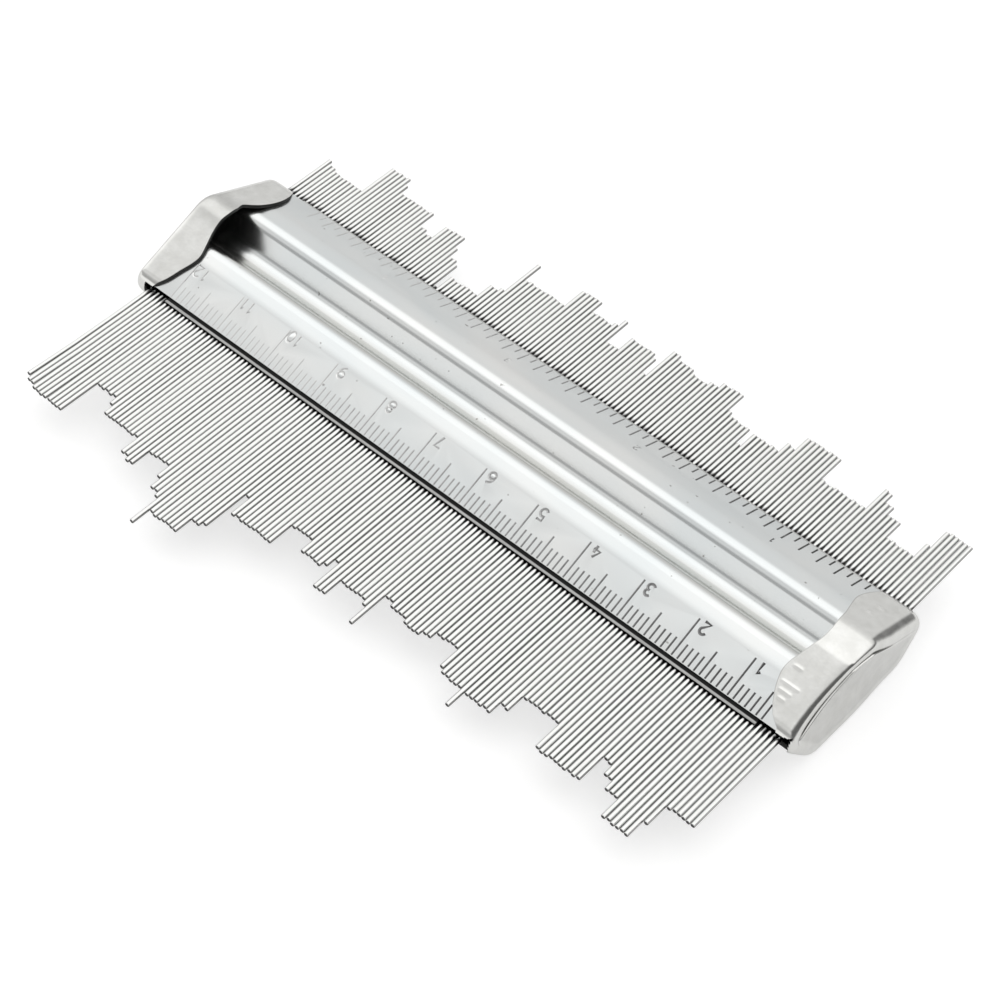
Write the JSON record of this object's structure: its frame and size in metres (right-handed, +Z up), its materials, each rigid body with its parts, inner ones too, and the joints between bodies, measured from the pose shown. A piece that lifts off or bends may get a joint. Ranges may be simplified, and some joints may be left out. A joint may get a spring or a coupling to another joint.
{
  "type": "contour gauge",
  "caption": "Profile copying gauge: a comb of sliding steel wires clamped between ridged metal shells with pressed end caps.",
  "frame": {"origin": "on the surface that the gauge rests on, below the middle of its overall box; the body's own middle lies 8.8 mm towards +Y", "axes": "+X along the body towards the end where the centimetre scale starts, +Y along the wires towards the side that they are pushed from, +Z up"},
  "size_m": [0.1302, 0.0812, 0.0138],
  "materials": {
    "shell_steel": "bright pressed steel sheet with satin flanges",
    "cap_steel": "pressed steel sheet, slightly warm and scuffed",
    "wire_steel": "bright drawn wire with blunt cut ends",
    "liner_steel": "thin plain steel strip"
  },
  "bodies": {
    "body": {"upper_shell": "shell_steel", "lower_shell": "shell_steel", "upper_liner": "liner_steel", "lower_liner": "liner_steel", "cap_left": "cap_steel", "cap_right": "cap_steel"},
    "wires_01": {"wires_01": "wire_steel"},
    "wires_02": {"wires_02": "wire_steel"},
    "wires_03": {"wires_03": "wire_steel"},
    "wires_04": {"wires_04": "wire_steel"},
    "wires_05": {"wires_05": "wire_steel"},
    "wires_06": {"wires_06": "wire_steel"},
    "wires_07": {"wires_07": "wire_steel"},
    "wires_08": {"wires_08": "wire_steel"},
    "wires_09": {"wires_09": "wire_steel"},
    "wires_10": {"wires_10": "wire_steel"},
    "wires_11": {"wires_11": "wire_steel"},
    "wires_12": {"wires_12": "wire_steel"},
    "wires_13": {"wires_13": "wire_steel"},
    "wires_14": {"wires_14": "wire_steel"},
    "wires_15": {"wires_15": "wire_steel"},
    "wires_16": {"wires_16": "wire_steel"},
    "wires_17": {"wires_17": "wire_steel"},
    "wires_18": {"wires_18": "wire_steel"},
    "wires_19": {"wires_19": "wire_steel"},
    "wires_20": {"wires_20": "wire_steel"},
    "wires_21": {"wires_21": "wire_steel"},
    "wires_22": {"wires_22": "wire_steel"},
    "wires_23": {"wires_23": "wire_steel"},
    "wires_24": {"wires_24": "wire_steel"},
    "wires_25": {"wires_25": "wire_steel"},
    "wires_26": {"wires_26": "wire_steel"},
    "wires_27": {"wires_27": "wire_steel"},
    "wires_28": {"wires_28": "wire_steel"},
    "wires_29": {"wires_29": "wire_steel"},
    "wires_30": {"wires_30": "wire_steel"},
    "wires_31": {"wires_31": "wire_steel"},
    "wires_32": {"wires_32": "wire_steel"},
    "wires_33": {"wires_33": "wire_steel"},
    "wires_34": {"wires_34": "wire_steel"},
    "wires_35": {"wires_35": "wire_steel"},
    "wires_36": {"wires_36": "wire_steel"},
    "wires_37": {"wires_37": "wire_steel"},
    "wires_38": {"wires_38": "wire_steel"},
    "wires_39": {"wires_39": "wire_steel"},
    "wires_40": {"wires_40": "wire_steel"},
    "wires_41": {"wires_41": "wire_steel"},
    "wires_42": {"wires_42": "wire_steel"},
    "wires_43": {"wires_43": "wire_steel"},
    "wires_44": {"wires_44": "wire_steel"},
    "wires_45": {"wires_45": "wire_steel"},
    "wires_46": {"wires_46": "wire_steel"},
    "wires_47": {"wires_47": "wire_steel"},
    "wires_48": {"wires_48": "wire_steel"},
    "wires_49": {"wires_49": "wire_steel"},
    "wires_50": {"wires_50": "wire_steel"}
  },
  "joints": [
    {"name": "wires_01_slide", "type": "slide", "parent": "body", "child": "wires_01", "axis": [0, 1, 0], "range_m": [-0.0107, 0.0251]},
    {"name": "wires_02_slide", "type": "slide", "parent": "body", "child": "wires_02", "axis": [0, 1, 0], "range_m": [-0.0098, 0.026]},
    {"name": "wires_03_slide", "type": "slide", "parent": "body", "child": "wires_03", "axis": [0, 1, 0], "range_m": [-0.0091, 0.0267]},
    {"name": "wires_04_slide", "type": "slide", "parent": "body", "child": "wires_04", "axis": [0, 1, 0], "range_m": [-0.0091, 0.0267]},
    {"name": "wires_05_slide", "type": "slide", "parent": "body", "child": "wires_05", "axis": [0, 1, 0], "range_m": [-0.0163, 0.0195]},
    {"name": "wires_06_slide", "type": "slide", "parent": "body", "child": "wires_06", "axis": [0, 1, 0], "range_m": [-0.0149, 0.0209]},
    {"name": "wires_07_slide", "type": "slide", "parent": "body", "child": "wires_07", "axis": [0, 1, 0], "range_m": [-0.013, 0.0228]},
    {"name": "wires_08_slide", "type": "slide", "parent": "body", "child": "wires_08", "axis": [0, 1, 0], "range_m": [-0.013, 0.0228]},
    {"name": "wires_09_slide", "type": "slide", "parent": "body", "child": "wires_09", "axis": [0, 1, 0], "range_m": [-0.0097, 0.0261]},
    {"name": "wires_10_slide", "type": "slide", "parent": "body", "child": "wires_10", "axis": [0, 1, 0], "range_m": [-0.0089, 0.0269]},
    {"name": "wires_11_slide", "type": "slide", "parent": "body", "child": "wires_11", "axis": [0, 1, 0], "range_m": [-0.0124, 0.0234]},
    {"name": "wires_12_slide", "type": "slide", "parent": "body", "child": "wires_12", "axis": [0, 1, 0], "range_m": [-0.0098, 0.026]},
    {"name": "wires_13_slide", "type": "slide", "parent": "body", "child": "wires_13", "axis": [0, 1, 0], "range_m": [-0.0078, 0.028]},
    {"name": "wires_14_slide", "type": "slide", "parent": "body", "child": "wires_14", "axis": [0, 1, 0], "range_m": [-0.0071, 0.0287]},
    {"name": "wires_15_slide", "type": "slide", "parent": "body", "child": "wires_15", "axis": [0, 1, 0], "range_m": [-0.0013, 0.0345]},
    {"name": "wires_16_slide", "type": "slide", "parent": "body", "child": "wires_16", "axis": [0, 1, 0], "range_m": [-0.0045, 0.0313]},
    {"name": "wires_17_slide", "type": "slide", "parent": "body", "child": "wires_17", "axis": [0, 1, 0], "range_m": [-0.0045, 0.0313]},
    {"name": "wires_18_slide", "type": "slide", "parent": "body", "child": "wires_18", "axis": [0, 1, 0], "range_m": [-0.0076, 0.0282]},
    {"name": "wires_19_slide", "type": "slide", "parent": "body", "child": "wires_19", "axis": [0, 1, 0], "range_m": [-0.0083, 0.0275]},
    {"name": "wires_20_slide", "type": "slide", "parent": "body", "child": "wires_20", "axis": [0, 1, 0], "range_m": [-0.0163, 0.0195]},
    {"name": "wires_21_slide", "type": "slide", "parent": "body", "child": "wires_21", "axis": [0, 1, 0], "range_m": [-0.0124, 0.0234]},
    {"name": "wires_22_slide", "type": "slide", "parent": "body", "child": "wires_22", "axis": [0, 1, 0], "range_m": [-0.0124, 0.0234]},
    {"name": "wires_23_slide", "type": "slide", "parent": "body", "child": "wires_23", "axis": [0, 1, 0], "range_m": [-0.0168, 0.019]},
    {"name": "wires_24_slide", "type": "slide", "parent": "body", "child": "wires_24", "axis": [0, 1, 0], "range_m": [-0.0143, 0.0215]},
    {"name": "wires_25_slide", "type": "slide", "parent": "body", "child": "wires_25", "axis": [0, 1, 0], "range_m": [-0.0148, 0.021]},
    {"name": "wires_26_slide", "type": "slide", "parent": "body", "child": "wires_26", "axis": [0, 1, 0], "range_m": [-0.0165, 0.0193]},
    {"name": "wires_27_slide", "type": "slide", "parent": "body", "child": "wires_27", "axis": [0, 1, 0], "range_m": [-0.0109, 0.0249]},
    {"name": "wires_28_slide", "type": "slide", "parent": "body", "child": "wires_28", "axis": [0, 1, 0], "range_m": [-0.0142, 0.0216]},
    {"name": "wires_29_slide", "type": "slide", "parent": "body", "child": "wires_29", "axis": [0, 1, 0], "range_m": [-0.0133, 0.0225]},
    {"name": "wires_30_slide", "type": "slide", "parent": "body", "child": "wires_30", "axis": [0, 1, 0], "range_m": [-0.0098, 0.026]},
    {"name": "wires_31_slide", "type": "slide", "parent": "body", "child": "wires_31", "axis": [0, 1, 0], "range_m": [-0.0166, 0.0192]},
    {"name": "wires_32_slide", "type": "slide", "parent": "body", "child": "wires_32", "axis": [0, 1, 0], "range_m": [-0.0158, 0.02]},
    {"name": "wires_33_slide", "type": "slide", "parent": "body", "child": "wires_33", "axis": [0, 1, 0], "range_m": [-0.0149, 0.0209]},
    {"name": "wires_34_slide", "type": "slide", "parent": "body", "child": "wires_34", "axis": [0, 1, 0], "range_m": [-0.0157, 0.0201]},
    {"name": "wires_35_slide", "type": "slide", "parent": "body", "child": "wires_35", "axis": [0, 1, 0], "range_m": [-0.0168, 0.019]},
    {"name": "wires_36_slide", "type": "slide", "parent": "body", "child": "wires_36", "axis": [0, 1, 0], "range_m": [-0.013, 0.0228]},
    {"name": "wires_37_slide", "type": "slide", "parent": "body", "child": "wires_37", "axis": [0, 1, 0], "range_m": [-0.0121, 0.0237]},
    {"name": "wires_38_slide", "type": "slide", "parent": "body", "child": "wires_38", "axis": [0, 1, 0], "range_m": [-0.0085, 0.0273]},
    {"name": "wires_39_slide", "type": "slide", "parent": "body", "child": "wires_39", "axis": [0, 1, 0], "range_m": [-0.0118, 0.024]},
    {"name": "wires_40_slide", "type": "slide", "parent": "body", "child": "wires_40", "axis": [0, 1, 0], "range_m": [-0.0138, 0.022]},
    {"name": "wires_41_slide", "type": "slide", "parent": "body", "child": "wires_41", "axis": [0, 1, 0], "range_m": [-0.0169, 0.0189]},
    {"name": "wires_42_slide", "type": "slide", "parent": "body", "child": "wires_42", "axis": [0, 1, 0], "range_m": [-0.0169, 0.0189]},
    {"name": "wires_43_slide", "type": "slide", "parent": "body", "child": "wires_43", "axis": [0, 1, 0], "range_m": [-0.0117, 0.0241]},
    {"name": "wires_44_slide", "type": "slide", "parent": "body", "child": "wires_44", "axis": [0, 1, 0], "range_m": [-0.0117, 0.0241]},
    {"name": "wires_45_slide", "type": "slide", "parent": "body", "child": "wires_45", "axis": [0, 1, 0], "range_m": [-0.0167, 0.0191]},
    {"name": "wires_46_slide", "type": "slide", "parent": "body", "child": "wires_46", "axis": [0, 1, 0], "range_m": [-0.0147, 0.0211]},
    {"name": "wires_47_slide", "type": "slide", "parent": "body", "child": "wires_47", "axis": [0, 1, 0], "range_m": [-0.0129, 0.0229]},
    {"name": "wires_48_slide", "type": "slide", "parent": "body", "child": "wires_48", "axis": [0, 1, 0], "range_m": [-0.0094, 0.0264]},
    {"name": "wires_49_slide", "type": "slide", "parent": "body", "child": "wires_49", "axis": [0, 1, 0], "range_m": [-0.0125, 0.0233]},
    {"name": "wires_50_slide", "type": "slide", "parent": "body", "child": "wires_50", "axis": [0, 1, 0], "range_m": [-0.0165, 0.0193]}
  ]
}
